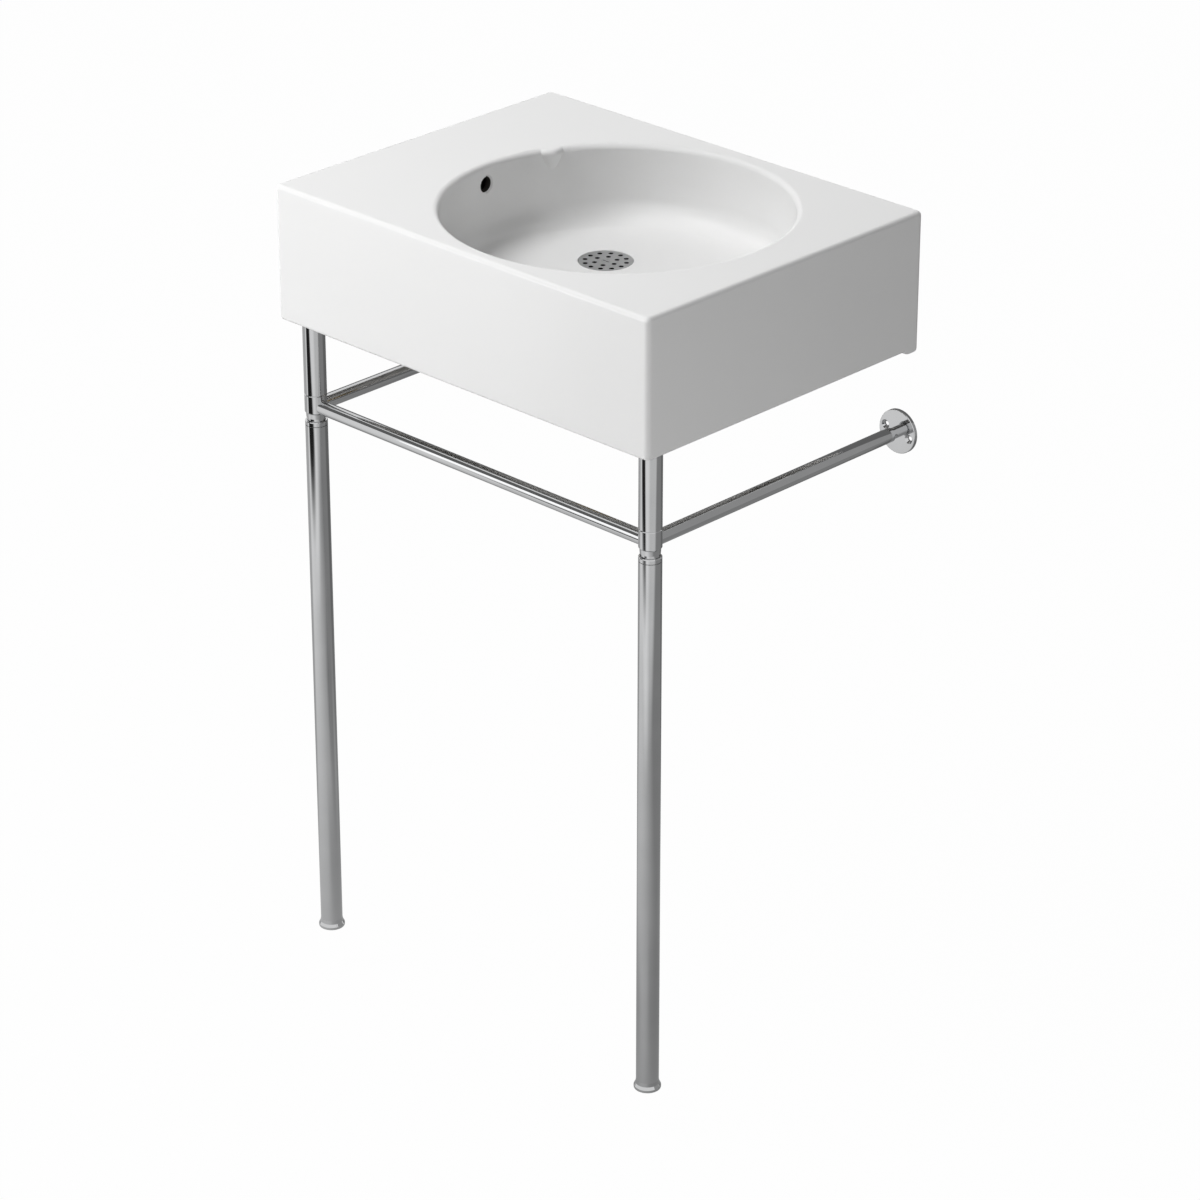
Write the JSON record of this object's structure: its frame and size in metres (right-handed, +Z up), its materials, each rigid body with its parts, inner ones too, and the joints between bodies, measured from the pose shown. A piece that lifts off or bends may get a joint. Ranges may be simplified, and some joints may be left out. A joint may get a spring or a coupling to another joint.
{
  "type": "console sink",
  "caption": "Rectangular ceramic console basin with an offset round bowl, on telescopic chrome legs with towel rails and wall flanges.",
  "frame": {"origin": "on the floor under the middle of the plan, halfway between wall plane and basin front", "axes": "+X to the right as seen from the front, +Y towards the wall, +Z up"},
  "size_m": [0.554, 0.42, 0.915],
  "materials": {
    "ceramic": "white gloss glaze",
    "chrome": "polished plate",
    "brass": "raw turned",
    "steel": "plain thread",
    "rubber": "matte",
    "plastic": "moulded",
    "glide_plastic": "moulded"
  },
  "bodies": {
    "console": {"basin": "ceramic", "basin_bowl": "ceramic", "overflow_duct": "ceramic", "waste_strainer": "chrome", "strainer_screw": "chrome", "waste_body": "brass", "waste_top_seal": "rubber", "waste_lower_seal": "rubber", "waste_washer": "plastic", "waste_backnut": "brass", "leg_pad_left": "rubber", "leg_top_plug_left": "plastic", "upper_leg_left": "chrome", "corner_connector_left": "chrome", "leg_spigot_left": "chrome", "side_rail_left": "chrome", "spigot_bush_left": "plastic", "leg_pad_right": "rubber", "leg_top_plug_right": "plastic", "upper_leg_right": "chrome", "corner_connector_right": "chrome", "leg_spigot_right": "chrome", "side_rail_right": "chrome", "spigot_bush_right": "plastic", "front_rail": "chrome", "rail_inserts": "brass", "rail_studs": "steel"},
    "left_lower_leg": {"lower_leg_left": "chrome", "leg_collet_left": "plastic", "leg_foot_left": "chrome", "foot_glide_left": "glide_plastic"},
    "left_lock_ring": {"lock_ring_left": "chrome"},
    "left_wall_flange": {"wall_flange_left": "chrome"},
    "right_lower_leg": {"lower_leg_right": "chrome", "leg_collet_right": "plastic", "leg_foot_right": "chrome", "foot_glide_right": "glide_plastic"},
    "right_lock_ring": {"lock_ring_right": "chrome"},
    "right_wall_flange": {"wall_flange_right": "chrome"}
  },
  "joints": [
    {"name": "left_leg_height", "type": "slide", "parent": "console", "child": "left_lower_leg", "axis": [0, 0, -1], "range_m": [0, 0.05]},
    {"name": "left_ring_turn", "type": "hinge", "parent": "left_lower_leg", "child": "left_lock_ring", "pos_m": [-0.252, -0.181, 0.637], "axis": [0, 0, 1], "range_deg": [0, 90]},
    {"name": "left_flange_reach", "type": "slide", "parent": "console", "child": "left_wall_flange", "axis": [0, -1, 0], "range_m": [0, 0.01]},
    {"name": "right_leg_height", "type": "slide", "parent": "console", "child": "right_lower_leg", "axis": [0, 0, -1], "range_m": [0, 0.05]},
    {"name": "right_ring_turn", "type": "hinge", "parent": "right_lower_leg", "child": "right_lock_ring", "pos_m": [0.252, -0.181, 0.637], "axis": [0, 0, 1], "range_deg": [0, 90]},
    {"name": "right_flange_reach", "type": "slide", "parent": "console", "child": "right_wall_flange", "axis": [0, -1, 0], "range_m": [0, 0.01]}
  ]
}
